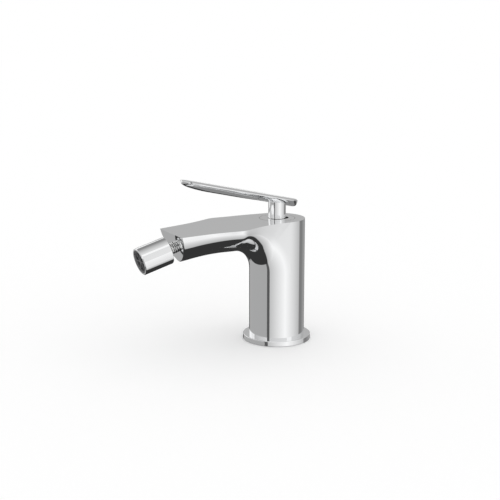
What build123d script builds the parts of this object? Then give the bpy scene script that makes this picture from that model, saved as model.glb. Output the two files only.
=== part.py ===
from build123d import *
from math import sin, cos, tan, radians, sqrt
import os

os.makedirs("parts", exist_ok=True)

# Single-lever bidet mixer, in millimetres.
# The origin is on the column's axis, on the surface that the mixer stands on.
# The spout points to -Y and +Z is up.

# Overrun of every cut past the face it opens
over = 1

# Fits
thread_fit = 0.05            # radial, between a fixed piece and the hole it is screwed or pressed into
running_fit = 0.1            # between a moving piece and its seat
loose_fit = 0.3              # between pieces that pass each other freely

# Base flange and its rubber
flange_radius = 29.4
flange_height = 4.3
flange_edge = 0.5
flange_bore = 17.5
flange_lip_height = 2.6
gasket_proud = 0.4
gasket_inner = 22.2
gasket_outer = 26.4
gasket_groove = 1.6

# Column
column_radius = 24
column_wall = 3.2
column_cavity = 39           # height of the open space under the connection plate
top_height = 107             # of the flat top above the standing surface

# Spout
spout_reach = 100            # of the top front edge
spout_fall = 3               # degrees, of the top towards the tip
fall_start = 10              # the flat top bends down from here
fall_end = 30                # and runs straight from here
tip_tilt = 16                # degrees, of the front face and of the outlet
arch_radius = 20
arch_level = 64              # where the column's front starts to curve into the spout
skin_margin = 3              # the skin is made this much too high, then cut to the flat top
column_fullness = 2          # exponent of the section's curve: 2 is a circle
spout_fullness = 1.6
side_depth_shares = (0.2, 0.42, 0.66, 0.86)

# Half widths of the body and its depths below the top edge, as shares of the column's
# radius: round the arch, then along the spout to past its tip
arch_turn_shares = (0, 0.2, 0.4, 0.6, 0.8, 1)
arch_width_shares = (0.999, 1, 1, 1.025, 1.142, 1.308)
arch_depth_shares = (0.958, 0.967, 0.958, 0.95, 0.935, 0.92)
spout_station_shares = (0.49, 0.54, 0.6, 0.7, 0.8, 0.92, 1.08)
spout_width_shares = (1.333, 1.285, 1.19, 1.083, 1.01, 0.97, 0.917)
spout_depth_shares = (0.895, 0.88, 0.875, 0.885, 0.925, 1.02, 1.15)

# Cartridge chamber, open at the top for the round cover
cover_radius = 15.2
cover_gap = 0.25
cover_thickness = 3
cover_skirt_radius = 12
cover_skirt = 5
thread_bore_depth = 16.7     # of the wide bore, from the top
chamber_radius = 14.2
chamber_floor = 64

# Waterways and connections in the plate over the open base
inlet_spacing = 15
inlet_setback = 5            # behind the column's axis
inlet_thread_radius = 5      # M10 x 1
inlet_thread_depth = 13
port_spacing = 9
port_setback = 6.5
port_radius = 2
stud_thread_radius = 4       # M8
stud_thread_depth = 14
stud_offset = 11             # in front of the column's axis
channel_radius = 3.5
channel_start = 86           # height of the channel's axis in the chamber

# Outlet, on the spout's middle plane
outlet_reach = 115.3         # a point on the outlet's axis, half way along the nozzle
outlet_height = 85.25
neck_hole_radius = 8
neck_hole_depth = 7
nipple_thread_radius = 6.6
nipple_thread_length = 9

# Nozzle
nozzle_radius = 11.5
nozzle_length = 26
nozzle_edge = 0.5
nozzle_wall = 1.6
nozzle_rear_wall = 2.3
nozzle_opening = 7.6
ball_radius = 8
ball_back = 7                # from the nozzle's rear rim to the ball's centre
ball_neck_radius = 4.6
ball_neck_grip = 6           # of the neck's thread in the ball
ball_bore = 3.2
ball_tilt_room = 2.5         # from the nozzle's rear rim back to the nipple's shoulder
seat_length = 4.1
seat_start = 0.5             # behind the ball's centre
seal_angle = 30              # degrees, of the ball's seal in front of its centre
washer_start = 5.2           # in front of the ball's centre
washer_bore = 6.8
washer_thickness = 1.5
aerator_set_in = 0.8
aerator_wall = 1.6
aerator_ledge = 1.1
mesh_set_in = 2.5
mesh_thickness = 0.8
aerator_ribs = 6
aerator_rib_width = 1
aerator_rib_height = 2.2
aerator_hub = 1.8

# Cartridge
housing_radius = 12.9
housing_wall = 1.1
housing_collar = 2.7
housing_roof = 2.5
housing_window_width = 9
housing_window_height = 7
housing_window_start = 79
base_plate_radius = 12.5
base_plate_height = 1.6
base_height = 8.6
peg_radius = 1.5
peg_length = 3
peg_spacing = 15
peg_offset = 5
disc_thickness = 4
moving_disc_radius = 8.6
drive_width = 2.4
drive_depth = 1.6
drive_height = 3
port_seal_thickness = 1.4
seal_section = 0.75          # radius of the round seals
seal_groove = 1.5
nut_radius_fit = 0.05
nut_height = 5
nut_bore = 11
nut_slots = 4
nut_slot_width = 3
nut_slot_depth = 2

# Lever mechanism
pivot_depth = 5.5            # of the hinge pin below the flat top
pin_radius = 1.5
pin_length = 19.2
lift_range = 20              # degrees, from closed to fully open
tail_length = 13             # from the hinge pin to the ball that moves the disc
tail_radius = 1.8
tail_ball_radius = 2.5
knuckle_radius = 7.5
knuckle_room = 0.4
turret_radius = 10.3
turret_flange_radius = 11.5
turret_flange_height = 3.4
carrier_boss_radius = 3.8
carrier_boss_height = 5.3
carrier_plate = 4.9
carrier_slot_length = 12.8
cover_slot_shift = 2.4
spindle_size = 6.8
spindle_length = 12

# Lever: blade and stem are one casting
stem_radius = 7.5
stem_fillet = 1.6
blade_front = 89.6           # the tip, in front of the column's axis
blade_front_height = 145.5
blade_back = 18.4            # behind the column's axis
blade_back_height = 120.8
blade_half_width = 15.5
blade_crown = 0.7            # of the top over the rim
blade_keel = 4.4             # of the underside below the rim
blade_rim = 0.8
blade_place_shares = (0, 0.012, 0.05, 0.11, 0.2, 0.45, 0.72, 0.84, 0.91, 0.96, 0.988, 1)
blade_width_shares = (0.16, 0.34, 0.59, 0.75, 0.85, 0.935, 1, 0.965, 0.82, 0.57, 0.29, 0.08)
blade_thick_shares = (1, 1.15, 1.2, 1.2, 1.15, 1.2, 1.2, 1.15, 1, 0.8, 0.55, 0.35)
grub_radius = 2.5            # M5
grub_length = 2.8
grub_height = 7.5            # above the flat top
grub_socket_width = 2.5
grub_socket_depth = 1.5
plug_length = 1

# Sizes that follow from those above
flange_top = gasket_proud + flange_height
plate_bottom = flange_top + column_cavity
shelf_level = top_height - thread_bore_depth
thread_bore_radius = cover_radius + cover_gap
pivot_level = top_height - pivot_depth
arch_axis_y = -(column_radius + arch_radius)
fall_slope = tan(radians(spout_fall))
fall_meet = (fall_start + fall_end) / 2
tip_top_height = top_height - fall_slope * (spout_reach - fall_meet)
skin_top = top_height + skin_margin
outlet_direction = Vector(0, -cos(radians(tip_tilt)), -sin(radians(tip_tilt)))
tip_plane = Plane(origin=(0, -spout_reach, tip_top_height), x_dir=(1, 0, 0), z_dir=outlet_direction)
outlet_middle = Vector(0, -outlet_reach, outlet_height)
ball_centre = outlet_middle - outlet_direction * (nozzle_length / 2 - ball_back)
face_distance = (ball_centre - tip_plane.origin).dot(outlet_direction)
face_centre = ball_centre - outlet_direction * face_distance
nipple_seat = face_centre - outlet_direction * (neck_hole_depth + nipple_thread_length)
cover_bottom = top_height - cover_thickness
stack_base = chamber_floor + port_seal_thickness
stack_top = stack_base + base_height
moving_disc_bottom = stack_top + disc_thickness
carrier_bottom = moving_disc_bottom + disc_thickness
housing_inner = housing_radius - housing_wall
housing_top = shelf_level + housing_collar
roof_bottom = housing_top - housing_roof
turret_bottom = carrier_bottom + carrier_plate + running_fit
turret_flange_top = roof_bottom - running_fit
turret_top = cover_bottom - running_fit
rest_tilt = lift_range / 2
slide_rest = tail_length * sin(radians(rest_tilt))

# Base flange: turned brass ring, with a lip that centres the column and a groove for the
# rubber
with BuildPart() as base_flange:
    with BuildSketch(Plane.XY.offset(gasket_proud)):
        Circle(flange_radius)
        Circle(flange_bore, mode=Mode.SUBTRACT)
    extrude(amount=flange_height)
    outer_edges = base_flange.edges().filter_by(GeomType.CIRCLE).sort_by(SortBy.RADIUS)[-2:]
    fillet(outer_edges.sort_by(Axis.Z)[-1], flange_edge)
    with BuildSketch(Plane.XY.offset(flange_top)):
        Circle(column_radius - column_wall - thread_fit)
        Circle(flange_bore, mode=Mode.SUBTRACT)
    extrude(amount=flange_lip_height)
    with BuildSketch(Plane.XY.offset(gasket_proud)):
        Circle(gasket_outer)
        Circle(gasket_inner, mode=Mode.SUBTRACT)
    extrude(amount=gasket_groove, mode=Mode.SUBTRACT)
base_flange.part.label = "base_flange"
export_step(base_flange.part, "parts/base_flange.step")

# Base gasket: rubber ring that stands proud of its groove and carries the mixer
with BuildPart() as base_gasket:
    with BuildSketch():
        Circle(gasket_outer - thread_fit)
        Circle(gasket_inner + thread_fit, mode=Mode.SUBTRACT)
    extrude(amount=gasket_proud + gasket_groove)
base_gasket.part.label = "base_gasket"
export_step(base_gasket.part, "parts/base_gasket.step")

# Body: one brass casting, column and spout. The upper front is a single skin that turns
# from the column's half circle through the arch into the spout's keel-shaped section.
with BuildPart() as mixer_body:
    # Column, behind and below the arch
    with BuildSketch(Plane.XY.offset(flange_top)):
        Circle(column_radius)
    extrude(amount=skin_top - flange_top)
    # Sections round the arch, each on a plane through the arch's axis
    for turn, width_share, depth_share in zip(arch_turn_shares, arch_width_shares, arch_depth_shares):
        angle = radians(90 * turn)
        half_width = column_radius * width_share
        depth = column_radius * depth_share
        to_axis = -arch_axis_y / max(cos(angle), sin(radians(1)))
        to_top = (skin_top - arch_level) / max(sin(angle), sin(radians(1)))
        outside = min(to_axis, to_top)
        power = column_fullness + (spout_fullness - column_fullness) * turn
        side = [
            (half_width * (1 - share**power) ** (1 / power), arch_radius + depth * (1 - share))
            for share in (0, *side_depth_shares)
        ]
        section_plane = Plane(
            origin=(0, arch_axis_y, arch_level), x_dir=(1, 0, 0), z_dir=(0, -sin(angle), cos(angle))
        )
        with BuildSketch(section_plane):
            with BuildLine():
                Line((half_width, outside), side[0])
                Spline(
                    *side,
                    (0, arch_radius),
                    *[(-x, y) for x, y in reversed(side)],
                    tangents=((0, -1), (0, 1)),
                )
                Line((-half_width, arch_radius + depth), (-half_width, outside))
                Line((-half_width, outside), (half_width, outside))
            make_face()
    # Sections along the spout
    for station_share, width_share, depth_share in zip(
        spout_station_shares, spout_width_shares, spout_depth_shares
    ):
        station = spout_reach * station_share
        half_width = column_radius * width_share
        depth = column_radius * depth_share
        top = top_height - fall_slope * (station - fall_meet)
        side = [
            (
                half_width * (1 - share**spout_fullness) ** (1 / spout_fullness),
                top - depth * share,
            )
            for share in (0, *side_depth_shares)
        ]
        with BuildSketch(Plane.XZ.offset(station)):
            with BuildLine():
                Line((half_width, skin_top), side[0])
                Spline(
                    *side,
                    (0, top - depth),
                    *[(-x, y) for x, y in reversed(side)],
                    tangents=((0, -1), (0, 1)),
                )
                Line((-half_width, top), (-half_width, skin_top))
                Line((-half_width, skin_top), (half_width, skin_top))
            make_face()
    loft()
    # The flat top: level over the column, then falling gently to the tip
    behind = column_radius + over
    ahead = spout_reach * spout_station_shares[-1] + over
    with BuildSketch(Plane.YZ.offset(-2 * column_radius)):
        with BuildLine():
            Line((behind, top_height), (-fall_start, top_height))
            Spline(
                (-fall_start, top_height),
                (-fall_end, top_height - fall_slope * (fall_end - fall_meet)),
                tangents=((-1, 0), (-1, -fall_slope)),
            )
            Polyline(
                (-fall_end, top_height - fall_slope * (fall_end - fall_meet)),
                (-ahead, top_height - fall_slope * (ahead - fall_meet)),
                (-ahead, skin_top + skin_margin),
                (behind, skin_top + skin_margin),
                (behind, top_height),
            )
        make_face()
    extrude(amount=4 * column_radius, mode=Mode.SUBTRACT)
    # Front face, square to the outlet
    split(bisect_by=tip_plane, keep=Keep.BOTTOM)
    # Cartridge chamber: wide threaded bore for cover and nut, then the chamber
    with BuildSketch(Plane.XY.offset(top_height)):
        Circle(thread_bore_radius)
    extrude(amount=-thread_bore_depth, mode=Mode.SUBTRACT)
    with BuildSketch(Plane.XY.offset(shelf_level)):
        Circle(chamber_radius)
    extrude(amount=-(shelf_level - chamber_floor), mode=Mode.SUBTRACT)
    # Open base
    with BuildSketch(Plane.XY.offset(flange_top)):
        Circle(column_radius - column_wall)
    extrude(amount=column_cavity, mode=Mode.SUBTRACT)
    # Hose connections, their waterways, pegs' holes, and the thread for the fixing stud
    with BuildSketch(Plane.XY.offset(plate_bottom)):
        with Locations((-inlet_spacing / 2, inlet_setback), (inlet_spacing / 2, inlet_setback)):
            Circle(inlet_thread_radius)
    extrude(amount=inlet_thread_depth, mode=Mode.SUBTRACT)
    with BuildSketch(Plane.XY.offset(chamber_floor)):
        with Locations((-port_spacing / 2, port_setback), (port_spacing / 2, port_setback)):
            Circle(port_radius)
    extrude(amount=-(chamber_floor - plate_bottom - inlet_thread_depth + over), mode=Mode.SUBTRACT)
    with BuildSketch(Plane.XY.offset(chamber_floor)):
        with Locations((-peg_spacing / 2, -peg_offset), (peg_spacing / 2, -peg_offset)):
            Circle(peg_radius + running_fit)
    extrude(amount=-(peg_length - port_seal_thickness + loose_fit), mode=Mode.SUBTRACT)
    with BuildSketch(Plane.XY.offset(plate_bottom)):
        with Locations((0, -stud_offset)):
            Circle(stud_thread_radius)
    extrude(amount=stud_thread_depth, mode=Mode.SUBTRACT)
    # Outlet: recess round the neck, thread for the nipple, and the channel from the chamber
    with BuildSketch(Plane(origin=face_centre, x_dir=(1, 0, 0), z_dir=outlet_direction)):
        Circle(neck_hole_radius)
    extrude(amount=-neck_hole_depth, mode=Mode.SUBTRACT)
    with BuildSketch(Plane(origin=face_centre, x_dir=(1, 0, 0), z_dir=outlet_direction)):
        Circle(nipple_thread_radius + thread_fit)
    extrude(amount=-(neck_hole_depth + nipple_thread_length), mode=Mode.SUBTRACT)
    channel_back = Vector(0, -(chamber_radius - 2 * over), channel_start)
    channel_run = nipple_seat - channel_back
    with BuildSketch(Plane(origin=channel_back, x_dir=(1, 0, 0), z_dir=channel_run)):
        Circle(channel_radius)
    extrude(amount=channel_run.length + over, mode=Mode.SUBTRACT)
mixer_body.part.label = "mixer_body"
export_step(mixer_body.part, "parts/mixer_body.step")

# Port seal: rubber sheet under the cartridge, with the two water ports and the pegs' holes
with BuildPart() as port_seal:
    with BuildSketch(Plane.XY.offset(chamber_floor)):
        Circle(base_plate_radius)
        with Locations((-port_spacing / 2, port_setback), (port_spacing / 2, port_setback)):
            Circle(port_radius, mode=Mode.SUBTRACT)
        with Locations((-peg_spacing / 2, -peg_offset), (peg_spacing / 2, -peg_offset)):
            Circle(peg_radius + running_fit, mode=Mode.SUBTRACT)
    extrude(amount=port_seal_thickness)
port_seal.part.label = "port_seal"
export_step(port_seal.part, "parts/port_seal.step")

# Cartridge base: foot plate, round body with the two ports, and two locating pegs
with BuildPart() as cartridge_base:
    with BuildSketch(Plane.XY.offset(stack_base)):
        Circle(base_plate_radius)
    extrude(amount=base_plate_height)
    with BuildSketch(Plane.XY.offset(stack_base)):
        Circle(housing_inner - running_fit)
    extrude(amount=base_height)
    with BuildSketch(Plane.XY.offset(stack_base)):
        with Locations((-peg_spacing / 2, -peg_offset), (peg_spacing / 2, -peg_offset)):
            Circle(peg_radius)
    extrude(amount=-peg_length)
    with BuildSketch(Plane.XY.offset(stack_base)):
        with Locations((-port_spacing / 2, port_setback), (port_spacing / 2, port_setback)):
            Circle(port_radius)
    extrude(amount=base_height, mode=Mode.SUBTRACT)
cartridge_base.part.label = "cartridge_base"
export_step(cartridge_base.part, "parts/cartridge_base.step")

# Fixed disc: ceramic, with the same two ports
with BuildPart() as fixed_disc:
    with BuildSketch(Plane.XY.offset(stack_top)):
        Circle(housing_inner - 2 * running_fit)
        with Locations((-port_spacing / 2, port_setback), (port_spacing / 2, port_setback)):
            Circle(port_radius, mode=Mode.SUBTRACT)
    extrude(amount=disc_thickness)
fixed_disc.part.label = "fixed_disc"
export_step(fixed_disc.part, "parts/fixed_disc.step")

# Moving disc: ceramic, drawn closed over the ports, with two notches for the carrier
with BuildPart() as moving_disc:
    with BuildSketch(Plane.XY.offset(moving_disc_bottom)):
        with Locations((0, slide_rest)):
            Circle(moving_disc_radius)
    extrude(amount=disc_thickness)
    with BuildSketch(Plane.XY.offset(carrier_bottom)):
        with Locations((-moving_disc_radius, slide_rest), (moving_disc_radius, slide_rest)):
            Rectangle(2 * (drive_depth + running_fit), drive_width + 2 * running_fit)
    extrude(amount=-(drive_height + running_fit), mode=Mode.SUBTRACT)
moving_disc.part.label = "moving_disc"
export_step(moving_disc.part, "parts/moving_disc.step")

# Disc carrier: plate with two lugs in the disc's notches, and a boss for the lever's tail
with BuildPart() as disc_carrier:
    with BuildSketch(Plane.XY.offset(carrier_bottom)):
        with Locations((0, slide_rest)):
            Circle(moving_disc_radius)
    extrude(amount=carrier_plate)
    with BuildSketch(Plane.XY.offset(carrier_bottom)):
        with Locations((0, slide_rest)):
            Circle(moving_disc_radius)
            Circle(moving_disc_radius - drive_depth, mode=Mode.SUBTRACT)
            Rectangle(2 * moving_disc_radius, drive_width, mode=Mode.INTERSECT)
    extrude(amount=-drive_height)
    with BuildSketch(Plane.XY.offset(carrier_bottom + carrier_plate)):
        with Locations((0, slide_rest)):
            Circle(carrier_boss_radius)
    extrude(amount=carrier_boss_height)
    boss_top = carrier_bottom + carrier_plate + carrier_boss_height
    ball_low = pivot_level - tail_length - tail_ball_radius - loose_fit
    with BuildSketch(Plane.XY.offset(boss_top)):
        with Locations((0, slide_rest)):
            Circle(tail_ball_radius + running_fit)
    extrude(amount=-(boss_top - ball_low), mode=Mode.SUBTRACT)
disc_carrier.part.label = "disc_carrier"
export_step(disc_carrier.part, "parts/disc_carrier.step")

# Cartridge housing: plastic shell over the discs, with a collar, a seal groove round it,
# a roof that holds the turret down, and four windows that let the water out
with BuildPart() as cartridge_housing:
    housing_bottom = stack_base + base_plate_height
    with BuildSketch(Plane.XY.offset(housing_bottom)):
        Circle(housing_radius)
    extrude(amount=housing_top - housing_bottom)
    with BuildSketch(Plane.XY.offset(shelf_level)):
        Circle(cover_radius)
    extrude(amount=housing_collar)
    with BuildSketch(Plane.XY.offset(shelf_level + (housing_collar - seal_groove) / 2)):
        Circle(cover_radius + over)
        Circle(thread_bore_radius - 2 * seal_section - thread_fit, mode=Mode.SUBTRACT)
    extrude(amount=seal_groove, mode=Mode.SUBTRACT)
    with BuildSketch(Plane.XY.offset(housing_bottom)):
        Circle(housing_inner)
    extrude(amount=roof_bottom - housing_bottom, mode=Mode.SUBTRACT)
    with BuildSketch(Plane.XY.offset(roof_bottom)):
        Circle(turret_radius + running_fit)
    extrude(amount=housing_roof, mode=Mode.SUBTRACT)
    with BuildSketch(Plane.XY.offset(housing_window_start)):
        Rectangle(4 * housing_radius, housing_window_width)
        Rectangle(housing_window_width, 4 * housing_radius)
    extrude(amount=housing_window_height, mode=Mode.SUBTRACT)
cartridge_housing.part.label = "cartridge_housing"
export_step(cartridge_housing.part, "parts/cartridge_housing.step")

# Housing seal: rubber ring in the collar's groove
with BuildPart() as housing_o_ring:
    with BuildSketch(Plane.XZ):
        with Locations((thread_bore_radius - seal_section - thread_fit / 2, shelf_level + housing_collar / 2)):
            Circle(seal_section)
    revolve(axis=Axis.Z)
housing_o_ring.part.label = "housing_o_ring"
export_step(housing_o_ring.part, "parts/housing_o_ring.step")

# Retaining nut: threaded ring over the housing's collar, slotted for its key
with BuildPart() as retaining_nut:
    with BuildSketch(Plane.XY.offset(housing_top)):
        Circle(thread_bore_radius - nut_radius_fit)
        Circle(nut_bore, mode=Mode.SUBTRACT)
    extrude(amount=nut_height)
    with BuildSketch(Plane.XY.offset(housing_top + nut_height)):
        with PolarLocations(0, nut_slots // 2, angular_range=180):
            Rectangle(4 * thread_bore_radius, nut_slot_width)
    extrude(amount=-nut_slot_depth, mode=Mode.SUBTRACT)
retaining_nut.part.label = "retaining_nut"
export_step(retaining_nut.part, "parts/retaining_nut.step")

# Turret: turns in the housing's roof, with a round pocket for the knuckle, a guide slot
# for the carrier's boss, and the hole for the hinge pin
with BuildPart() as turret:
    with BuildSketch(Plane.XY.offset(turret_bottom)):
        Circle(turret_flange_radius)
    extrude(amount=turret_flange_top - turret_bottom)
    with BuildSketch(Plane.XY.offset(turret_bottom)):
        Circle(turret_radius)
    extrude(amount=turret_top - turret_bottom)
    pocket_bottom = pivot_level - knuckle_radius - knuckle_room
    with BuildSketch(Plane.XY.offset(turret_top)):
        Circle(knuckle_radius + knuckle_room)
    extrude(amount=-(turret_top - pocket_bottom), mode=Mode.SUBTRACT)
    with BuildSketch(Plane.XY.offset(turret_bottom)):
        SlotOverall(carrier_slot_length, 2 * (carrier_boss_radius + running_fit), rotation=90)
    extrude(amount=pocket_bottom - turret_bottom + over, mode=Mode.SUBTRACT)
    with BuildSketch(Plane.YZ.offset(-turret_radius - over)):
        with Locations((0, pivot_level)):
            Circle(pin_radius + thread_fit)
    extrude(amount=2 * (turret_radius + over), mode=Mode.SUBTRACT)
turret.part.label = "turret"
export_step(turret.part, "parts/turret.step")

# Hinge pin
with BuildPart() as hinge_pin:
    with BuildSketch(Plane.YZ.offset(-pin_length / 2)):
        with Locations((0, pivot_level)):
            Circle(pin_radius)
    extrude(amount=pin_length)
hinge_pin.part.label = "hinge_pin"
export_step(hinge_pin.part, "parts/hinge_pin.step")

# Cover disc: flush with the flat top, slotted for the lever's stem, with a skirt round
# the turret that also keeps the hinge pin in
with BuildPart() as cover_disc:
    with BuildSketch(Plane.XY.offset(cover_bottom)):
        Circle(cover_radius)
    extrude(amount=cover_thickness)
    with BuildSketch(Plane.XY.offset(cover_bottom)):
        Circle(cover_skirt_radius)
        Circle(turret_radius + thread_fit, mode=Mode.SUBTRACT)
    extrude(amount=-cover_skirt)
    with BuildSketch(Plane.XY.offset(cover_bottom)):
        with Locations((0, cover_slot_shift / 2)):
            SlotCenterToCenter(cover_slot_shift, 2 * (knuckle_radius + knuckle_room), rotation=90)
    extrude(amount=cover_thickness, mode=Mode.SUBTRACT)
cover_disc.part.label = "cover_disc"
export_step(cover_disc.part, "parts/cover_disc.step")

# Spindle: round knuckle on the hinge pin, tail with the ball that moves the disc, and a
# square stub inside the lever's stem
stem_bottom = top_height + loose_fit
with BuildPart() as spindle:
    with Locations((0, 0, pivot_level)):
        Sphere(knuckle_radius)
    with BuildSketch(Plane.XY.offset(stem_bottom)):
        Circle(2 * knuckle_radius)
    extrude(amount=knuckle_radius, mode=Mode.SUBTRACT)
    with BuildSketch(Plane.XY.offset(pivot_level)):
        Rectangle(spindle_size, spindle_size)
    extrude(amount=stem_bottom - pivot_level + spindle_length)
    tail_direction = Vector(0, sin(radians(rest_tilt)), -cos(radians(rest_tilt)))
    with BuildSketch(Plane(origin=(0, 0, pivot_level), x_dir=(1, 0, 0), z_dir=tail_direction)):
        Circle(tail_radius)
    extrude(amount=tail_length)
    with Locations(tuple(Vector(0, 0, pivot_level) + tail_direction * tail_length)):
        Sphere(tail_ball_radius)
    with BuildSketch(Plane.YZ.offset(-knuckle_radius - over)):
        with Locations((0, pivot_level)):
            Circle(pin_radius + thread_fit)
    extrude(amount=2 * (knuckle_radius + over), mode=Mode.SUBTRACT)
spindle.part.label = "spindle"
export_step(spindle.part, "parts/spindle.step")

# Lever: round stem under a leaf-shaped blade, one casting. The blade is a loft of lens
# sections along its rising middle line.
blade_start = Vector(0, blade_back, blade_back_height)
blade_run = Vector(0, -blade_front, blade_front_height) - blade_start
blade_direction = blade_run.normalized()
rim_plane = Plane(
    origin=blade_start, x_dir=(1, 0, 0), z_dir=(0, blade_direction.Z, -blade_direction.Y)
)
grub_level = top_height + grub_height
with BuildPart() as lever:
    with BuildSketch(Plane.XY.offset(stem_bottom)):
        Circle(stem_radius)
    extrude(amount=blade_front_height - stem_bottom)
    split(bisect_by=rim_plane, keep=Keep.BOTTOM)
    for place, width_share, thick_share in zip(
        blade_place_shares, blade_width_shares, blade_thick_shares
    ):
        half_width = blade_half_width * width_share
        crown = blade_rim / 2 + blade_crown * thick_share
        keel = blade_rim / 2 + blade_keel * thick_share
        section_plane = Plane(
            origin=blade_start + blade_run * place, x_dir=(1, 0, 0), z_dir=blade_direction
        )
        with BuildSketch(section_plane):
            with BuildLine():
                ThreePointArc((-half_width, blade_rim / 2), (0, crown), (half_width, blade_rim / 2))
                Line((half_width, blade_rim / 2), (half_width, -blade_rim / 2))
                ThreePointArc((half_width, -blade_rim / 2), (0, -keel), (-half_width, -blade_rim / 2))
                Line((-half_width, -blade_rim / 2), (-half_width, blade_rim / 2))
            make_face()
    loft()
    with BuildSketch(Plane.XY.offset(stem_bottom)):
        Rectangle(spindle_size + 2 * thread_fit, spindle_size + 2 * thread_fit)
    extrude(amount=spindle_length + loose_fit, mode=Mode.SUBTRACT)
    with BuildSketch(Plane.XZ.offset(-stem_radius - over)):
        with Locations((0, grub_level)):
            Circle(grub_radius + thread_fit)
    extrude(amount=stem_radius + over - spindle_size / 2, mode=Mode.SUBTRACT)
lever.part.label = "lever"
export_step(lever.part, "parts/lever.step")

# Grub screw: holds the lever on the spindle from behind, with a hexagon socket
grub_start = spindle_size / 2 + running_fit
with BuildPart() as grub_screw:
    with BuildSketch(Plane.XZ.offset(-grub_start - grub_length)):
        with Locations((0, grub_level)):
            Circle(grub_radius)
    extrude(amount=grub_length)
    with BuildSketch(Plane.XZ.offset(-grub_start - grub_length)):
        with Locations((0, grub_level)):
            RegularPolygon(grub_socket_width / 2, 6, major_radius=False)
    extrude(amount=grub_socket_depth, mode=Mode.SUBTRACT)
grub_screw.part.label = "grub_screw"
export_step(grub_screw.part, "parts/grub_screw.step")

# Grub cap: plug that closes the hole over the grub screw, shaped to the stem's outside
with BuildPart() as grub_cap:
    with BuildSketch(Plane.XZ.offset(-grub_start - grub_length - plug_length)):
        with Locations((0, grub_level)):
            Circle(grub_radius)
    extrude(amount=plug_length)
    with BuildSketch(Plane.XY.offset(grub_level - 2 * grub_radius)):
        Circle(stem_radius)
    extrude(amount=4 * grub_radius, mode=Mode.INTERSECT)
grub_cap.part.label = "grub_cap"
export_step(grub_cap.part, "parts/grub_cap.step")

# Nozzle nipple: threaded in the spout, its thread shows in the gap before the nozzle,
# then a narrower neck is screwed into the ball
shoulder = face_distance - ball_back - ball_tilt_room
with BuildPart() as nozzle_nipple:
    with BuildSketch(Plane(origin=nipple_seat, x_dir=(1, 0, 0), z_dir=outlet_direction)):
        Circle(nipple_thread_radius)
    extrude(amount=neck_hole_depth + nipple_thread_length + shoulder)
    with BuildSketch(Plane(origin=nipple_seat, x_dir=(1, 0, 0), z_dir=outlet_direction)):
        Circle(ball_neck_radius)
    neck_end = face_distance - ball_radius + ball_neck_grip
    extrude(amount=neck_hole_depth + nipple_thread_length + neck_end)
    with BuildSketch(Plane(origin=nipple_seat, x_dir=(1, 0, 0), z_dir=outlet_direction)):
        Circle(ball_bore)
    extrude(amount=neck_hole_depth + nipple_thread_length + neck_end, mode=Mode.SUBTRACT)
nozzle_nipple.part.label = "nozzle_nipple"
export_step(nozzle_nipple.part, "parts/nozzle_nipple.step")

# Swivel ball: screwed on the neck, bored through for the water
ball_plane = Plane(origin=ball_centre, x_dir=(1, 0, 0), z_dir=outlet_direction)
with BuildPart() as swivel_ball:
    with Locations(ball_plane):
        Sphere(ball_radius)
    with BuildSketch(ball_plane.offset(-ball_radius)):
        Circle(ball_bore)
    extrude(amount=2 * ball_radius, mode=Mode.SUBTRACT)
    with BuildSketch(ball_plane.offset(-ball_radius)):
        Circle(ball_neck_radius + thread_fit)
    extrude(amount=ball_neck_grip + running_fit, mode=Mode.SUBTRACT)
swivel_ball.part.label = "swivel_ball"
export_step(swivel_ball.part, "parts/swivel_ball.step")

# Nozzle shell: cylinder with a bevel at both ends and a rear wall round the neck
with BuildPart() as nozzle_shell:
    with BuildSketch(ball_plane.offset(-ball_back)):
        Circle(nozzle_radius)
    extrude(amount=nozzle_length)
    chamfer(nozzle_shell.edges().filter_by(GeomType.CIRCLE), nozzle_edge)
    with BuildSketch(ball_plane.offset(nozzle_rear_wall - ball_back)):
        Circle(nozzle_radius - nozzle_wall)
    extrude(amount=nozzle_length - nozzle_rear_wall, mode=Mode.SUBTRACT)
    with BuildSketch(ball_plane.offset(-ball_back)):
        Circle(nozzle_opening)
    extrude(amount=nozzle_rear_wall, mode=Mode.SUBTRACT)
nozzle_shell.part.label = "nozzle_shell"
export_step(nozzle_shell.part, "parts/nozzle_shell.step")

# Ball seat: plastic ring behind the ball, hollowed to its curve
insert_radius = nozzle_radius - nozzle_wall - thread_fit
with BuildPart() as ball_seat:
    with BuildSketch(ball_plane.offset(-seat_start - seat_length)):
        Circle(insert_radius)
    extrude(amount=seat_length)
    with Locations(ball_plane):
        Sphere(ball_radius + running_fit, mode=Mode.SUBTRACT)
ball_seat.part.label = "ball_seat"
export_step(ball_seat.part, "parts/ball_seat.step")

# Ball seal: rubber ring against the front of the ball
seal_reach = ball_radius + seal_section + thread_fit
with BuildPart() as ball_o_ring:
    with Locations(ball_plane.offset(seal_reach * sin(radians(seal_angle)))):
        Torus(seal_reach * cos(radians(seal_angle)), seal_section)
ball_o_ring.part.label = "ball_o_ring"
export_step(ball_o_ring.part, "parts/ball_o_ring.step")

# Aerator washer: flat rubber ring between the ball's seal and the insert
with BuildPart() as aerator_washer:
    with BuildSketch(ball_plane.offset(washer_start)):
        Circle(insert_radius)
        Circle(washer_bore, mode=Mode.SUBTRACT)
    extrude(amount=washer_thickness)
aerator_washer.part.label = "aerator_washer"
export_step(aerator_washer.part, "parts/aerator_washer.step")

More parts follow.
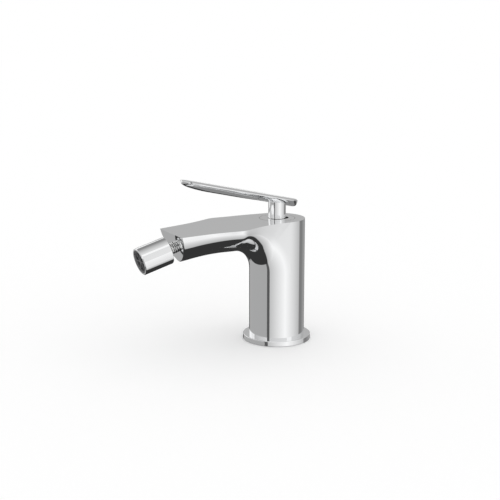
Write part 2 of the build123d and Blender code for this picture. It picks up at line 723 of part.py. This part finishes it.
# Aerator housing: tube with a ledge for the sieve and a star of ribs over the outlet
aerator_start = washer_start + washer_thickness
aerator_end = nozzle_length - ball_back - aerator_set_in
aerator_inner = insert_radius - aerator_wall
with BuildPart() as aerator_housing:
    with BuildSketch(ball_plane.offset(aerator_start)):
        Circle(insert_radius)
        Circle(aerator_inner, mode=Mode.SUBTRACT)
    extrude(amount=aerator_end - aerator_start)
    with BuildSketch(ball_plane.offset(aerator_start + mesh_set_in)):
        Circle(insert_radius)
        Circle(aerator_inner - aerator_ledge, mode=Mode.SUBTRACT)
    extrude(amount=aerator_ledge)
    with BuildSketch(ball_plane.offset(aerator_end)):
        Circle(aerator_hub)
        with PolarLocations(0, aerator_ribs // 2, angular_range=180):
            Rectangle(2 * aerator_inner + aerator_wall, aerator_rib_width)
    extrude(amount=-aerator_rib_height)
aerator_housing.part.label = "aerator_housing"
export_step(aerator_housing.part, "parts/aerator_housing.step")

# Aerator mesh: the sieve, drawn as a thin disc
with BuildPart() as aerator_mesh:
    with BuildSketch(ball_plane.offset(aerator_start + mesh_set_in - mesh_thickness)):
        Circle(aerator_inner - thread_fit)
    extrude(amount=mesh_thickness)
aerator_mesh.part.label = "aerator_mesh"
export_step(aerator_mesh.part, "parts/aerator_mesh.step")
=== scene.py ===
import bpy
import math
from mathutils import Matrix, Vector


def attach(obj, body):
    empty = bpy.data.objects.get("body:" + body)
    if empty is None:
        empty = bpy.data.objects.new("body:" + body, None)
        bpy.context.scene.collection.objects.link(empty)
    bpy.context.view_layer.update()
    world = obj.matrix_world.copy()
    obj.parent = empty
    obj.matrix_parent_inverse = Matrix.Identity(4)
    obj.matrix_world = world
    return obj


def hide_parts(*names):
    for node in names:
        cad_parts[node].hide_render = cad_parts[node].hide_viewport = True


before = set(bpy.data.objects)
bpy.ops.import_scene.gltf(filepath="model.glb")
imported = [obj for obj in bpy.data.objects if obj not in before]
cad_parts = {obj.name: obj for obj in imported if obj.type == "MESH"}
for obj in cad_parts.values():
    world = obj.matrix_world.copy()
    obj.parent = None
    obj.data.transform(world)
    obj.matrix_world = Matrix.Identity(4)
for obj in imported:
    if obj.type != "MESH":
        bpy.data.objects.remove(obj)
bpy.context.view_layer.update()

# Column and spout: one brass casting, ground smooth and chrome plated. Its skin turns from the
# round column through the arch into the keel-shaped spout, under a flat top.
mm = 0.001
column_radius = 24 * mm
column_foot = 4.7 * mm
flat_top = 107 * mm
arch_radius = 20 * mm
arch_level = 62.6 * mm
arch_axis = column_radius + arch_radius
lean_start = 60 * mm
tip_reach = 100 * mm
tip_tilt = math.radians(16)
top_fall = math.tan(math.radians(3))
bend_start = 10 * mm
bend_end = 30 * mm

# Half width, depth under the top and fullness of the section, from the picture. Along
#  the arch they are counted 0 to 1, along the spout by the reach; a fullness of 2 is round.
arch_width = [(0, 24), (0.35, 24), (0.5, 24.25), (0.6, 24.9), (0.8, 27.5), (1, 31.4)]
spout_width = [
    (44, 31.4), (47, 32), (50, 31.7), (54, 30.6), (60, 28.6),
    (70, 26), (80, 24.4), (90, 23.3), (106, 21.5),
]
arch_depth = [(0, 24), (0.5, 23.6), (1, 23.2)]
spout_depth = [(44, 23.2), (52, 22.8), (60, 22.6), (70, 22.8), (80, 23.4), (90, 24.4), (106, 25.6)]
arch_fullness = [(0, 2), (0.5, 1.95), (1, 1.75)]
spout_fullness = [(44, 1.75), (70, 1.65), (106, 1.62)]

quarter_turn = math.pi / 2
round_steps = 20
wall_steps = 3
column_steps = 12
arch_steps = 36
spout_steps = 38
rim_rounds = 6
turn_slack = 0.00001
level_slack = 0.0001
weld_distance = 0.01 * mm
corner_turn = math.atan2(flat_top - arch_level, arch_axis)
shell_points, shell_faces = [], []


def top_level(reach):
    # Level over the column, then bending into a gentle fall towards the tip
    if reach <= bend_start:
        return flat_top
    if reach >= bend_end:
        return flat_top - top_fall * (reach - (bend_start + bend_end) / 2)
    return flat_top - top_fall * (reach - bend_start) ** 2 / (2 * (bend_end - bend_start))


def smooth_value(keys, place):
    # Smooth curve through given (place, value) pairs
    if place <= keys[0][0]:
        return keys[0][1]
    if place >= keys[-1][0]:
        return keys[-1][1]
    index = max(i for i in range(len(keys) - 1) if keys[i][0] <= place)
    slopes = []
    for i in (index, index + 1):
        low, high = max(i - 1, 0), min(i + 1, len(keys) - 1)
        slopes.append((keys[high][1] - keys[low][1]) / (keys[high][0] - keys[low][0]))
    span = keys[index + 1][0] - keys[index][0]
    t = (place - keys[index][0]) / span
    return (
        (2 * t**3 - 3 * t**2 + 1) * keys[index][1]
        + (t**3 - 2 * t**2 + t) * span * slopes[0]
        + (3 * t**2 - 2 * t**3) * keys[index + 1][1]
        + (t**3 - t**2) * span * slopes[1]
    )


def section_side(width, depth, fullness):
    # Half section from the keel to the side: (half width, height over the keel)
    side = []
    for step in range(round_steps + 1):
        angle = quarter_turn * step / round_steps
        out = width * math.sin(angle) ** (2 / fullness)
        side.append((out, depth * (1 - math.cos(angle) ** (2 / fullness))))
    return side


def add_strip(rows):
    # Rows of points on the right half, each joined to the next, and the same mirrored
    for side in (1, -1):
        start = len(shell_points)
        for row in rows:
            shell_points.extend((side * x, y, z) for x, y, z in row)
        count = len(rows[0])
        for r in range(len(rows) - 1):
            for c in range(count - 1):
                a = start + r * count + c
                face = (a, a + 1, a + count + 1, a + count)
                shell_faces.append(face if side > 0 else face[::-1])


def take_up(piece):
    bpy.ops.object.select_all(action="DESELECT")
    piece.select_set(True)
    bpy.context.view_layer.objects.active = piece


def new_piece(name, points, faces):
    mesh = bpy.data.meshes.new(name)
    mesh.from_pydata(points, [], faces)
    piece = bpy.data.objects.new(name, mesh)
    bpy.context.scene.collection.objects.link(piece)
    take_up(piece)
    return piece


# The column's front, up to where the arch begins
column_levels = [
    column_foot + (arch_level - column_foot) * i / column_steps for i in range(column_steps + 1)
]
side_levels = list(column_levels)
skin, walls, top_edge = [], [], []
for level in column_levels[:-1]:
    side = section_side(column_radius, column_radius, 2)
    skin.append([(x, -column_radius + up, level) for x, up in side])

# Round the arch, on planes through its axis. A flat wall runs from each section's side to the
# column's middle, or above the corner to the top edge.
arch_turns = {round(quarter_turn * i / arch_steps, 6) for i in range(arch_steps + 1)}
for turn in sorted(arch_turns | {round(corner_turn, 6)}):
    share = turn / quarter_turn
    width, depth = smooth_value(arch_width, share) * mm, smooth_value(arch_depth, share) * mm
    row = []
    for x, up in section_side(width, depth, smooth_value(arch_fullness, share)):
        radius = arch_radius + up
        row.append((x, -arch_axis + radius * math.cos(turn), arch_level + radius * math.sin(turn)))
    skin.append(row)
    end = row[-1]
    if turn <= corner_turn + turn_slack:
        far = (column_radius, 0.0, arch_level + arch_axis * math.tan(turn))
        side_levels.append(far[2])
    else:
        far_y, far_z = end[1], flat_top
        for _ in range(rim_rounds):
            far_z = top_level(-far_y)
            far_y = -arch_axis
            if turn < quarter_turn - level_slack:
                far_y += (far_z - arch_level) / math.tan(turn)
        far = (width, far_y, far_z)
    walls.append([
        tuple(end[i] + (far[i] - end[i]) * s / wall_steps for i in range(3))
        for s in range(wall_steps + 1)
    ])
    if turn >= corner_turn - turn_slack:
        top_edge.append(far)

# Along the spout the sections lean back step by step, until the last lies in the front face
for step in range(1, spout_steps + 1):
    reach = arch_axis + (tip_reach - arch_axis) * step / spout_steps
    lean = max(0.0, (reach - lean_start) / (tip_reach - lean_start))
    lean = math.tan(tip_tilt) * lean * lean * (3 - 2 * lean)
    upright_depth = smooth_value(spout_depth, reach / mm) * mm
    upright_fullness = smooth_value(spout_fullness, reach / mm)
    row = []
    for part in range(round_steps + 1):
        below = upright_depth * math.cos(quarter_turn * part / round_steps) ** (2 / upright_fullness)
        key = (reach - below * lean) / mm
        width, depth = smooth_value(spout_width, key) * mm, smooth_value(spout_depth, key) * mm
        x, up = section_side(width, depth, smooth_value(spout_fullness, key))[part]
        below = depth - up
        row.append((x, -reach + below * lean, top_level(reach) - below))
    skin.append(row)
    top_edge.append(row[-1])
add_strip(skin)
add_strip(walls)

# The column's back, and the flat top as strips from rim to rim
back_levels = sorted({round(level, 7) for level in side_levels})
back_round = [
    (column_radius * math.cos(turn), column_radius * math.sin(turn))
    for turn in (quarter_turn * i / round_steps for i in range(round_steps + 1))
]
add_strip([[(x, y, level) for level in back_levels] for x, y in back_round])
rim = [(x, y, flat_top) for x, y in reversed(back_round)] + top_edge[1:]
for (x0, y0, z0), (x1, y1, z1) in zip(rim, rim[1:]):
    start = len(shell_points)
    shell_points.extend([(x0, y0, z0), (-x0, y0, z0), (-x1, y1, z1), (x1, y1, z1)])
    shell_faces.append((start, start + 1, start + 2, start + 3))

body = new_piece("body_shell", shell_points, shell_faces)
bpy.ops.object.mode_set(mode="EDIT")
bpy.ops.mesh.select_all(action="SELECT")
bpy.ops.mesh.remove_doubles(threshold=weld_distance)
bpy.ops.mesh.dissolve_degenerate(threshold=weld_distance)
bpy.ops.mesh.select_all(action="SELECT")
bpy.ops.mesh.fill_holes(sides=0)
bpy.ops.mesh.select_all(action="SELECT")
bpy.ops.mesh.normals_make_consistent(inside=False)

# The edges are only just broken: the short faces beside them limit both widths to almost nothing
front_edge_round = 1.0 * mm
top_edge_round = 0.5 * mm
sharp_edge = math.radians(38)
face_slack = 0.01 * mm
top_slack = 0.05 * mm
face_normal = Vector((0, -math.cos(tip_tilt), -math.sin(tip_tilt)))
tip_point = Vector((0, -tip_reach, top_level(tip_reach)))
bpy.ops.mesh.select_mode(type="EDGE")
bpy.ops.mesh.select_all(action="DESELECT")
bpy.ops.object.mode_set(mode="OBJECT")
for edge in body.data.edges:
    ends = [body.data.vertices[v].co for v in edge.vertices]
    on_front = all(abs((end - tip_point).dot(face_normal)) < face_slack for end in ends)
    on_top = all(end.z > tip_point.z - top_slack for end in ends)
    edge.select = on_front and not on_top
bpy.ops.object.mode_set(mode="EDIT")
bpy.ops.mesh.bevel(offset=front_edge_round, segments=6, affect="EDGES", clamp_overlap=True)
bpy.ops.mesh.select_all(action="DESELECT")
bpy.ops.mesh.edges_select_sharp(sharpness=sharp_edge)
bpy.ops.mesh.bevel(offset=top_edge_round, segments=3, affect="EDGES", clamp_overlap=True)
bpy.ops.object.mode_set(mode="OBJECT")

# Bores, machined from above, from below and from the front face
face_middle = Vector((0, -0.09651, 0.090638))
overrun = 1 * mm
cover_bore = 15.45 * mm
chamber_bore = 14.2 * mm
shelf_level = 90.3 * mm
chamber_floor = 64 * mm
plate_level = 43.7 * mm
base_bore = 20.8 * mm
inlet_bore = 5 * mm
inlet_side = 7.5 * mm
inlet_setback = 5 * mm
inlet_end = 56.7 * mm
stud_bore = 4 * mm
stud_offset = 11 * mm
stud_end = 57.7 * mm
neck_thread = 4.8 * mm
neck_thread_depth = 16 * mm


def bored(piece, name, radius, start, end, segments=96):
    # One drilling with a straight bottom, from start to end
    start, end = Vector(start), Vector(end)
    bpy.ops.object.select_all(action="DESELECT")
    bpy.ops.mesh.primitive_cylinder_add(
        vertices=segments,
        radius=radius,
        depth=(end - start).length,
        location=(start + end) / 2,
        rotation=(end - start).to_track_quat("Z", "Y").to_euler(),
    )
    drill = bpy.context.object
    cut = piece.modifiers.new(name, "BOOLEAN")
    cut.object = drill
    cut.operation = "DIFFERENCE"
    cut.solver = "EXACT"
    take_up(piece)
    bpy.ops.object.modifier_apply(modifier=name)
    bpy.data.objects.remove(drill)


bored(body, "CoverBore", cover_bore, (0, 0, flat_top + overrun), (0, 0, shelf_level))
bored(body, "Chamber", chamber_bore, (0, 0, shelf_level + overrun), (0, 0, chamber_floor))
bored(body, "OpenBase", base_bore, (0, 0, column_foot - overrun), (0, 0, plate_level))
for x in (-inlet_side, inlet_side):
    inlet_start = (x, inlet_setback, plate_level - overrun)
    bored(body, "Inlet", inlet_bore, inlet_start, (x, inlet_setback, inlet_end), 32)
stud_start = (0, -stud_offset, plate_level - overrun)
bored(body, "Stud", stud_bore, stud_start, (0, -stud_offset, stud_end), 32)
neck_start = face_middle + face_normal * overrun
bored(body, "NeckThread", neck_thread, neck_start, face_middle - face_normal * neck_thread_depth, 64)
bpy.ops.object.shade_smooth_by_angle(angle=math.radians(30))
flat_faces = body.modifiers.new("FlatFaces", "WEIGHTED_NORMAL")
flat_faces.weight = 80
flat_faces.keep_sharp = True
bpy.ops.object.modifier_apply(modifier="FlatFaces")


def wiping_haze():
    # The faint patchy haze that wiping leaves on plating, and the casting's slight waviness
    group = bpy.data.node_groups.new("WipingHaze", "ShaderNodeTree")
    for name, value in (("Polish", 0.03), ("Haze", 0.04), ("Patch Size", 22.0), ("Waviness", 0.02)):
        socket = group.interface.new_socket(name, in_out="INPUT", socket_type="NodeSocketFloat")
        socket.default_value = value
    group.interface.new_socket("Roughness", in_out="OUTPUT", socket_type="NodeSocketFloat")
    group.interface.new_socket("Normal", in_out="OUTPUT", socket_type="NodeSocketVector")
    inputs = group.nodes.new("NodeGroupInput")
    outputs = group.nodes.new("NodeGroupOutput")
    place = group.nodes.new("ShaderNodeTexCoord")
    patches = group.nodes.new("ShaderNodeTexNoise")
    patches.inputs["Detail"].default_value = 4.0
    spread = group.nodes.new("ShaderNodeMapRange")
    spread.inputs["From Min"].default_value = 0.45
    spread.inputs["From Max"].default_value = 0.75
    add = group.nodes.new("ShaderNodeMath")
    add.operation = "ADD"
    ripple = group.nodes.new("ShaderNodeTexNoise")
    ripple.inputs["Scale"].default_value = 55.0
    ripple.inputs["Detail"].default_value = 1.0
    bump = group.nodes.new("ShaderNodeBump")
    bump.inputs["Distance"].default_value = 0.0004
    link = group.links.new
    link(place.outputs["Object"], patches.inputs["Vector"])
    link(inputs.outputs["Patch Size"], patches.inputs["Scale"])
    link(patches.outputs["Fac"], spread.inputs["Value"])
    link(inputs.outputs["Haze"], spread.inputs["To Max"])
    link(spread.outputs["Result"], add.inputs[0])
    link(inputs.outputs["Polish"], add.inputs[1])
    link(add.outputs["Value"], outputs.inputs["Roughness"])
    link(place.outputs["Object"], ripple.inputs["Vector"])
    link(ripple.outputs["Fac"], bump.inputs["Height"])
    link(inputs.outputs["Waviness"], bump.inputs["Strength"])
    link(bump.outputs["Normal"], outputs.inputs["Normal"])
    return group


def chrome_plate(name, tint=(0.93, 0.935, 0.94), polish=0.03, patch=22.0):
    material = bpy.data.materials.new(name)
    material.use_nodes = True
    nodes, links = material.node_tree.nodes, material.node_tree.links
    shader = nodes["Principled BSDF"]
    shader.inputs["Base Color"].default_value = (*tint, 1.0)
    shader.inputs["Metallic"].default_value = 1.0
    haze = nodes.new("ShaderNodeGroup")
    haze.node_tree = bpy.data.node_groups.get("WipingHaze") or wiping_haze()
    haze.inputs["Polish"].default_value = polish
    haze.inputs["Patch Size"].default_value = patch
    links.new(haze.outputs["Roughness"], shader.inputs["Roughness"])
    links.new(haze.outputs["Normal"], shader.inputs["Normal"])
    return material


body.data.materials.append(chrome_plate("BodyChrome"))
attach(body, "base")
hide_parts("mixer_body")


# Base flange: brass ring that the column stands on, turned and plated like the body. A lip on
# its top centres it in the column's open foot.
def finish_piece(node, material):
    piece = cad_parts[node]
    piece.data.materials.clear()
    piece.data.materials.append(material)
    for face in piece.data.polygons:
        face.material_index = 0


finish_piece("base_flange", chrome_plate("FlangeChrome", patch=30.0))


# Base gasket, port seal and the ring round the cartridge's collar: moulded black rubber. Each
# lies in its groove or under its plate, and is held there by being squeezed.
def plain_finish(name, colour, roughness, metallic=0.0, grain=180.0):
    # Matte or satin surface whose tone and roughness vary a little over the piece
    material = bpy.data.materials.new(name)
    material.use_nodes = True
    nodes, links = material.node_tree.nodes, material.node_tree.links
    shader = nodes["Principled BSDF"]
    shader.inputs["Metallic"].default_value = metallic
    place = nodes.new("ShaderNodeTexCoord")
    grains = nodes.new("ShaderNodeTexNoise")
    grains.inputs["Scale"].default_value = grain
    grains.inputs["Detail"].default_value = 6.0
    tone = nodes.new("ShaderNodeMix")
    tone.data_type = "RGBA"
    tone.inputs["A"].default_value = (*colour, 1.0)
    tone.inputs["B"].default_value = (*(min(1.0, part * 1.18 + 0.01) for part in colour), 1.0)
    rough = nodes.new("ShaderNodeMapRange")
    rough.inputs["To Min"].default_value = roughness - 0.06
    rough.inputs["To Max"].default_value = roughness + 0.08
    bump = nodes.new("ShaderNodeBump")
    bump.inputs["Strength"].default_value = 0.12
    bump.inputs["Distance"].default_value = 0.0002
    links.new(place.outputs["Object"], grains.inputs["Vector"])
    links.new(grains.outputs["Fac"], tone.inputs["Factor"])
    links.new(tone.outputs["Result"], shader.inputs["Base Color"])
    links.new(grains.outputs["Fac"], rough.inputs["Value"])
    links.new(rough.outputs["Result"], shader.inputs["Roughness"])
    links.new(grains.outputs["Fac"], bump.inputs["Height"])
    links.new(bump.outputs["Normal"], shader.inputs["Normal"])
    return material


seal_rubber = plain_finish("SealRubber", (0.025, 0.025, 0.026), 0.7)
for seal in ("base_gasket", "port_seal", "housing_o_ring"):
    finish_piece(seal, seal_rubber)

# Cartridge base and disc carrier: moulded black plastic. The base holds the fixed disc over the
# two water ports, the carrier drives the moving disc by two lugs.
black_moulding = plain_finish("BlackMoulding", (0.035, 0.035, 0.038), 0.45)
for moulding in ("cartridge_base", "disc_carrier"):
    finish_piece(moulding, black_moulding)

# Discs: two plates of pale ceramic, ground flat so that they seal against each other. The lower
# one is fixed, the upper one slides and turns over its ports.
ground_ceramic = plain_finish("GroundCeramic", (0.82, 0.80, 0.74), 0.25, grain=400.0)
for disc in ("fixed_disc", "moving_disc"):
    finish_piece(disc, ground_ceramic)

# Cartridge housing: moulded white plastic shell over the discs, with windows for the water and a
# collar that the nut presses down.
white_moulding = plain_finish("WhiteMoulding", (0.78, 0.78, 0.76), 0.4)
finish_piece("cartridge_housing", white_moulding)

# Turret: moulded grey plastic block that turns in the housing's roof with the lever, and holds
# the hinge pin.
grey_moulding = plain_finish("GreyMoulding", (0.30, 0.31, 0.32), 0.35)
finish_piece("turret", grey_moulding)

# Hinge pin: plain drawn steel, put through the turret and the spindle's knuckle. The lever
# lifts on it.
plain_steel = plain_finish("PlainSteel", (0.55, 0.55, 0.56), 0.32, metallic=1.0, grain=120.0)
finish_piece("hinge_pin", plain_steel)

# Spindle: plated metal, with a ball-ended tail below and a square stub that the lever fits over.
# Its round knuckle shows in the cover's slot when the lever is lifted.
spindle_chrome = chrome_plate("SpindleChrome", tint=(0.88, 0.88, 0.88), polish=0.05, patch=60.0)
finish_piece("spindle", spindle_chrome)

# Retaining nut: ring turned from brass bar and left unplated. It screws into the column over the
# cartridge's collar.
turned_brass = plain_finish("TurnedBrass", (0.66, 0.50, 0.24), 0.3, metallic=1.0, grain=90.0)
finish_piece("retaining_nut", turned_brass)

# Cover disc: plated disc, flush in the flat top and slotted for the lever's stem. It turns with
# the lever and hides the cartridge.
finish_piece("cover_disc", chrome_plate("CoverChrome", patch=35.0))

# Lever: leaf-shaped blade and round stem, cast in one, ground and plated. It fits over the
# spindle's square stub.
finish_piece("lever", chrome_plate("LeverChrome", patch=26.0))

# Grub screw and its plug: a steel screw with a hexagon socket clamps the lever on the spindle,
# and a small grey plastic plug closes its hole at the back.
finish_piece("grub_screw", plain_steel)
finish_piece("grub_cap", grey_moulding)

# Neck: brass nipple screwed into the spout, with a fine thread whose crests show in the gap
# before the nozzle, then a plain neck that holds the ball. Turned from bar and plated.
thread_crest = 4.75 * mm
thread_groove = 0.6 * mm
thread_pitch = 1.6 * mm
thread_length = 20.05 * mm
thread_run_out = thread_pitch / 3
rows_per_pitch = 8
neck_radius = 4.1 * mm
neck_length = 27.55 * mm
neck_bore = 3.2 * mm
neck_steps = 64
# Faces deeper in the groove than this share of its depth, counted from the crest, get the painted shade
painted_shade_start = 0.55
seat_point = face_middle - face_normal * neck_thread_depth
thread_rows = round(thread_length / thread_pitch * rows_per_pitch)
neck_profile = [(thread_crest, thread_length * i / thread_rows, True) for i in range(thread_rows + 1)]
neck_profile += [(neck_radius, thread_length, False), (neck_radius, neck_length, False)]
neck_profile += [(neck_bore, neck_length, False), (neck_bore, 0.0, False)]
across = Vector((1, 0, 0))
upward = face_normal.cross(across)
neck_points = []
for radius, along, cut in neck_profile:
    for step in range(neck_steps):
        turn = 2 * math.pi * step / neck_steps
        depth = 0.0
        if cut and 0 < along < thread_length:
            phase = (along / thread_pitch + step / neck_steps) % 1
            depth = thread_groove * (1 - abs(2 * phase - 1))
            depth *= min(1, along / thread_pitch, (thread_length - along) / thread_run_out)
        out = across * math.cos(turn) + upward * math.sin(turn)
        neck_points.append(seat_point + face_normal * along + out * (radius - depth))
neck_faces = []
for row in range(len(neck_profile)):
    this_ring = row * neck_steps
    next_ring = (row + 1) % len(neck_profile) * neck_steps
    for step in range(neck_steps):
        beside = (step + 1) % neck_steps
        neck_faces.append((this_ring + step, this_ring + beside, next_ring + beside, next_ring + step))
neck = new_piece("threaded_neck", neck_points, neck_faces)
bpy.ops.object.mode_set(mode="EDIT")
bpy.ops.mesh.select_all(action="SELECT")
bpy.ops.mesh.normals_make_consistent(inside=False)
bpy.ops.object.mode_set(mode="OBJECT")
bpy.ops.object.shade_smooth_by_angle(angle=math.radians(24))

# The bottoms of the thread's grooves get a dark grey plating: painted shade, for the shadow that lies
# in the grooves
neck.data.materials.append(chrome_plate("NeckChrome", tint=(0.9, 0.9, 0.89), polish=0.08, patch=60.0))
neck.data.materials.append(chrome_plate("NeckGroovePaintedShade", tint=(0.22, 0.22, 0.22), polish=0.35, patch=60.0))
groove_radius = thread_crest - thread_groove * painted_shade_start
for face in neck.data.polygons:
    offset = face.center - seat_point
    along = offset.dot(face_normal)
    if (offset - face_normal * along).length < groove_radius and along < thread_length:
        face.material_index = 1
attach(neck, "base")
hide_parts("nozzle_nipple")

# Ball: plated brass, turned and polished, screwed on the neck inside the nozzle. The nozzle
# turns and tilts on it.
ball_chrome = chrome_plate("BallChrome", tint=(0.85, 0.85, 0.85), polish=0.05, patch=60.0)
finish_piece("swivel_ball", ball_chrome)

# Ball seat and ball seal: a white plastic ring carries the ball at its middle, and a rubber ring
# in front of it keeps the water in.
finish_piece("ball_seat", white_moulding)
finish_piece("ball_o_ring", seal_rubber)

# Nozzle shell: turned brass tube, plated. It takes up the ball and its seat, and the insert that
# makes the spray.
finish_piece("nozzle_shell", chrome_plate("NozzleChrome", patch=40.0))

# Insert, sieve and washer of the outlet: dark moulded plastic in the nozzle's end, a woven steel
# sieve as a thin disc in it, and a rubber ring that seals it.
insert_moulding = plain_finish("InsertMoulding", (0.085, 0.085, 0.088), 0.5)
finish_piece("aerator_housing", insert_moulding)
sieve_steel = plain_finish("SieveSteel", (0.11, 0.11, 0.112), 0.6, metallic=0.3, grain=900.0)
finish_piece("aerator_mesh", sieve_steel)
finish_piece("aerator_washer", seal_rubber)

# Studio: a pale floor and white surroundings. Soft cards stand round the mixer, out of the
# camera's sight, and show only in its plating.
horizon = 0.09
camera_side = -29.5
card_distance = 1.6
near_card_distance = 1.5
card_step = 6
card_grid = 2


def soft_glow(name):
    # Material that only glows, without its source of tone
    material = bpy.data.materials.new(name)
    material.use_nodes = True
    nodes, links = material.node_tree.nodes, material.node_tree.links
    nodes.clear()
    glow = nodes.new("ShaderNodeEmission")
    result = nodes.new("ShaderNodeOutputMaterial")
    links.new(glow.outputs["Emission"], result.inputs["Surface"])
    return material, nodes, links, glow


def stand_out_of_sight(card, material):
    card.data.materials.append(material)
    card.visible_camera = False
    card.visible_diffuse = False
    card.visible_shadow = False
    card.visible_transmission = False


def studio_card(name, azimuths, heights, tones, away=card_distance, along="X"):
    # Azimuths count from the camera's side of the mixer, positive to the picture's left
    azimuth_span, height_span = azimuths[1] - azimuths[0], heights[1] - heights[0]
    steps = max(1, round(abs(azimuth_span) / card_step))
    bpy.ops.object.select_all(action="DESELECT")
    bpy.ops.mesh.primitive_grid_add(x_subdivisions=steps, y_subdivisions=1, size=card_grid)
    card = bpy.context.object
    card.name = name
    for corner in card.data.vertices:
        turn = math.radians(camera_side - (azimuths[0] + azimuth_span * (corner.co.x + 1) / 2))
        up = math.radians(heights[0] + height_span * (corner.co.y + 1) / 2)
        corner.co = (away * math.cos(turn), away * math.sin(turn), horizon + away * math.tan(up))
    material, nodes, links, glow = soft_glow(name)
    sheet_place = nodes.new("ShaderNodeUVMap")
    split_place = nodes.new("ShaderNodeSeparateXYZ")
    fade = nodes.new("ShaderNodeMapRange")
    fade.inputs["To Min"].default_value = tones[0]
    fade.inputs["To Max"].default_value = tones[1]
    links.new(sheet_place.outputs["UV"], split_place.inputs["Vector"])
    links.new(split_place.outputs[along], fade.inputs["Value"])
    links.new(fade.outputs["Result"], glow.inputs["Strength"])
    stand_out_of_sight(card, material)


low, level = (-60, -1), (1, 34)
studio_card("CardGrey", (39, 152), low, (0.40, 0.41))
studio_card("CardStrip", (29, 40), (-75, 28), (0.10, 0.10), away=near_card_distance)
studio_card("CardLeftFar", (152, 165), low, (0.12, 0.08))
studio_card("CardRightRise", (30, -36), low, (0.54, 1.0))
studio_card("CardRightFall", (-36, -106), low, (1.0, 0.5))
studio_card("CardRightDark", (-106, -122), low, (0.24, 0.2))
studio_card("CardRightFar", (-122, -160), low, (0.22, 0.4))
studio_card("CardBackDark", (160, 200), (-60, -4), (0.035, 0.035), away=near_card_distance)
studio_card("CardBack", (160, 235), level, (0.43, 0.52), along="Y")
studio_card("CardBackLeftPale", (105, 128), (-9, 15), (0.9, 0.9), away=near_card_distance)
studio_card("CardBackHigh", (125, 235), (34, 64), (0.27, 0.26), along="Y")
studio_card("CardHighRight", (-66, -125), (2, 64), (0.74, 0.55))
studio_card("CardHighLeft", (42, 105), (5, 64), (0.74, 0.5))
studio_card("CardHighFront", (40, -44), (3, 50), (0.62, 0.82))


def level_card(name, corners, radius, height):
    bpy.ops.object.select_all(action="DESELECT")
    bpy.ops.mesh.primitive_circle_add(vertices=corners, radius=radius, fill_type="NGON")
    card = bpy.context.object
    card.name = name
    card.location = (0, 0, height)
    return card


def place_across(nodes, links, turn):
    # Place across a level card, along a line turned away from the X axis
    place = nodes.new("ShaderNodeTexCoord")
    turned = nodes.new("ShaderNodeMapping")
    turned.inputs["Rotation"].default_value = (0, 0, turn)
    split = nodes.new("ShaderNodeSeparateXYZ")
    links.new(place.outputs["Object"], turned.inputs["Vector"])
    links.new(turned.outputs["Vector"], split.inputs["Vector"])
    return split.outputs["X"]


# A broad soft card overhead, paler on the camera's side
overhead_edge = math.radians(64)
overhead_reach = 0.8
overhead_radius = card_distance / math.tan(overhead_edge)
overhead = level_card("CardAbove", 64, overhead_radius, horizon + card_distance)
overhead_glow, nodes, links, glow = soft_glow("CardAbove")
fade = nodes.new("ShaderNodeMapRange")
fade.inputs["From Min"].default_value = -overhead_reach
fade.inputs["From Max"].default_value = overhead_reach
fade.inputs["To Min"].default_value = 0.28
fade.inputs["To Max"].default_value = 0.85
links.new(place_across(nodes, links, math.radians(-camera_side)), fade.inputs["Value"])
links.new(fade.outputs["Result"], glow.inputs["Strength"])
stand_out_of_sight(overhead, overhead_glow)

# The surroundings below are dark behind the mixer and to its left, and pale on the right of
# the camera's side. There, and on the left, the card ends nearer.
pit_radius = 1.0
pit_pale_radius = 0.7
pit_pale_turn = math.radians(10.5)
pit_left_turn = math.radians(70)
pit_left_width = math.radians(112)
pit_dark_reach = 0.24
pit_level = -0.5
pit = level_card("CardBelow", 96, pit_radius, pit_level)
for corner in pit.data.vertices:
    turned = math.atan2(corner.co.y, corner.co.x) - pit_pale_turn
    pale_side = math.cos(turned) * pit_pale_radius > pit_dark_reach
    if pale_side or 0 > turned + pit_left_turn > -pit_left_width:
        corner.co *= pit_pale_radius / pit_radius
pit_glow, nodes, links, glow = soft_glow("CardBelow")
ramp = nodes.new("ShaderNodeValToRGB")
dark, pale = ramp.color_ramp.elements
dark.position = pit_dark_reach - 0.015
dark.color = (0.035, 0.035, 0.035, 1)
pale.position = pit_dark_reach + 0.01
pale.color = (0.5, 0.5, 0.5, 1)
ramp.color_ramp.elements.new(pit_pale_radius).color = (0.96, 0.96, 0.96, 1)
links.new(place_across(nodes, links, -pit_pale_turn), ramp.inputs["Fac"])
links.new(ramp.outputs["Color"], glow.inputs["Color"])
stand_out_of_sight(pit, pit_glow)

# Floor: broad, pale and matte, and kept out of the plating
bpy.ops.object.select_all(action="DESELECT")
bpy.ops.mesh.primitive_plane_add(size=12, location=(0, 0, 0))
floor = bpy.context.object
floor.name = "Floor"
floor_material = bpy.data.materials.new("PaleFloor")
floor_material.use_nodes = True
floor_shader = floor_material.node_tree.nodes["Principled BSDF"]
floor_shader.inputs["Base Color"].default_value = (1.0, 1.0, 1.0, 1)
floor_shader.inputs["Roughness"].default_value = 0.9
floor_shader.inputs["Specular IOR Level"].default_value = 0.0
floor.data.materials.append(floor_material)
floor.visible_glossy = False

world = bpy.data.worlds.new("Studio")
bpy.context.scene.world = world
world.use_nodes = True
sky = world.node_tree.nodes["Background"]
sky.inputs["Color"].default_value = (1, 1, 1, 1)
sky.inputs["Strength"].default_value = 1.0

# Camera: looks down a little, past the column's axis to its left
pitch = math.radians(12.34)
look_turn = math.radians(1.5)
bpy.ops.object.select_all(action="DESELECT")
lens = bpy.data.cameras.new("Camera")
lens.lens = 75.6
lens.sensor_width = 36
camera = bpy.data.objects.new("Camera", lens)
bpy.context.scene.collection.objects.link(camera)
camera.location = (0.7735, -0.4376, 0.2729)
to_column = Vector((-camera.location.x, -camera.location.y, 0)).normalized()
ahead = Matrix.Rotation(look_turn, 3, "Z") @ to_column
gaze = Vector((ahead.x * math.cos(pitch), ahead.y * math.cos(pitch), -math.sin(pitch)))
camera.rotation_euler = gaze.to_track_quat("-Z", "Y").to_euler()
bpy.context.scene.camera = camera
bpy.context.scene.view_settings.view_transform = "Standard"
